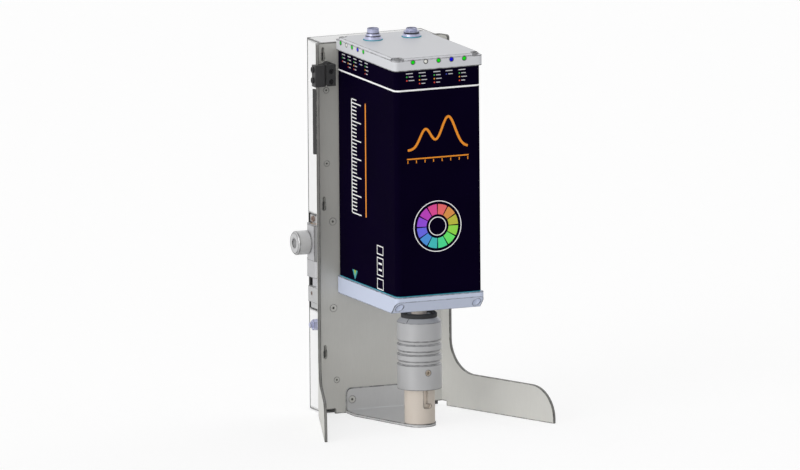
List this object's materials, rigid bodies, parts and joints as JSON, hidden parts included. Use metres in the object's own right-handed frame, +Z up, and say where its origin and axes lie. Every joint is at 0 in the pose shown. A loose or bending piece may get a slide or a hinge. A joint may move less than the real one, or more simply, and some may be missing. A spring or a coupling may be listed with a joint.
{
  "type": "benchtop spectrophotometer",
  "caption": "Box-shaped measuring head on a slide behind a bent sheet stand, over a spring-loaded telescopic light adapter on the bench.",
  "frame": {"origin": "centre of the measuring aperture in the base bracket's tongue, on the bench plane", "axes": "+Z up along the optical axis, -Y towards the head's front, +X to the right seen from the front"},
  "size_m": [0.2702, 0.2043, 0.4242],
  "materials": {
    "stand_sheet": "satin light grey sheet",
    "cover_white": "satin white sheet",
    "bracket_grey": "satin grey sheet",
    "screw_steel": "bright zinc",
    "ground_steel": "ground and polished",
    "block_grey": "machined",
    "copper_steel": "bronzed",
    "blue_zinc": "bluish zinc",
    "clamp_black": "fine texture",
    "screw_black": "black oxide",
    "guide_black": "fine texture",
    "cream_plastic": "turned, satin",
    "spring_steel": "drawn wire",
    "sleeve_grey": "bead blasted and anodised",
    "seal_rubber": "moulded",
    "cream_screw": "passivated",
    "carriage_grey": "machined",
    "bronze": "turned",
    "body_black": "satin blue-black coating",
    "gasket_rubber": "moulded",
    "gasket_teal": "moulded",
    "top_cover_grey": "fine textured coating",
    "bottom_cover_blue": "fine textured coating",
    "lamp_green": "moulded lens",
    "lamp_white": "moulded lens",
    "lamp_blue": "moulded lens",
    "board_green": "solder mask",
    "insert_black": "moulded",
    "clear_glass": "polished",
    "optic_black": "black anodised",
    "lamp_ring": "diffuser",
    "knob_grey": "turned and anodised"
  },
  "bodies": {
    "stand": {"stand_frame": "stand_sheet", "rear_cover": "cover_white", "cover_screws": "screw_steel", "base_bracket": "bracket_grey", "bracket_screws": "screw_steel", "guide_column": "ground_steel", "column_top_block": "block_grey", "column_bottom_block": "block_grey", "column_screws": "copper_steel", "steady_rod": "ground_steel", "steady_rod_blocks": "block_grey", "block_screws": "screw_steel", "earth_stud": "blue_zinc", "earth_nut": "blue_zinc", "cable_clamp_base": "clamp_black", "cable_clamp_jaw": "clamp_black", "cable_clamp_screws": "screw_steel", "jaw_screws": "screw_black", "cable_guide": "guide_black", "adapter_tube": "cream_plastic", "tube_screws": "screw_steel", "return_spring": "spring_steel"},
    "sleeve": {"adapter_sleeve": "sleeve_grey", "seal_ring": "seal_rubber", "guide_screw": "cream_screw"},
    "head": {"carriage": "carriage_grey", "carriage_bushes": "bronze", "head_screws": "screw_steel", "head_mount_plate": "block_grey", "head_housing": "body_black", "top_gasket": "gasket_rubber", "bottom_gasket": "gasket_teal", "top_cover": "top_cover_grey", "bottom_cover": "bottom_cover_blue", "top_cover_screws": "screw_steel", "bottom_cover_screws": "screw_steel", "green_lamps": "lamp_green", "white_lamps": "lamp_white", "blue_lamps": "lamp_blue", "lamp_board": "board_green", "power_connector": "blue_zinc", "data_connector": "blue_zinc", "connector_inserts": "insert_black", "connector_nuts": "screw_steel", "nose_tube": "cream_plastic", "window_glass": "clear_glass", "optic_block": "optic_black", "illumination_ring": "lamp_ring", "objective_lens": "clear_glass", "spectrometer_module": "optic_black", "main_board": "board_green", "board_spacers": "screw_steel"},
    "clamp_shoe": {"clamp_shoe": "bronze"},
    "clamp_knob": {"clamp_knob": "knob_grey", "clamp_screw": "ground_steel"}
  },
  "joints": [
    {"name": "head_slide", "type": "slide", "parent": "stand", "child": "head", "axis": [0, 0, 1], "range_m": [-0.0086, 0]},
    {"name": "sleeve_slide", "type": "slide", "parent": "stand", "child": "sleeve", "axis": [0, 0, 1], "range_m": [-0.037, 0], "stiffness_N_per_m": 120, "springref_m": 0.03, "deforming": ["return_spring"]},
    {"name": "shoe_slide", "type": "slide", "parent": "head", "child": "clamp_shoe", "axis": [-1, 0, 0], "range_m": [0, 0.00093]},
    {"name": "knob_turn", "type": "hinge", "parent": "clamp_shoe", "child": "clamp_knob", "pos_m": [-0.08, 0.129, 0.1847], "axis": [-1, 0, 0], "range_deg": [0, 270]}
  ],
  "couplings": [
    {"joint": "knob_turn", "follows": "shoe_slide", "rad_per_m": 5026.6}
  ]
}
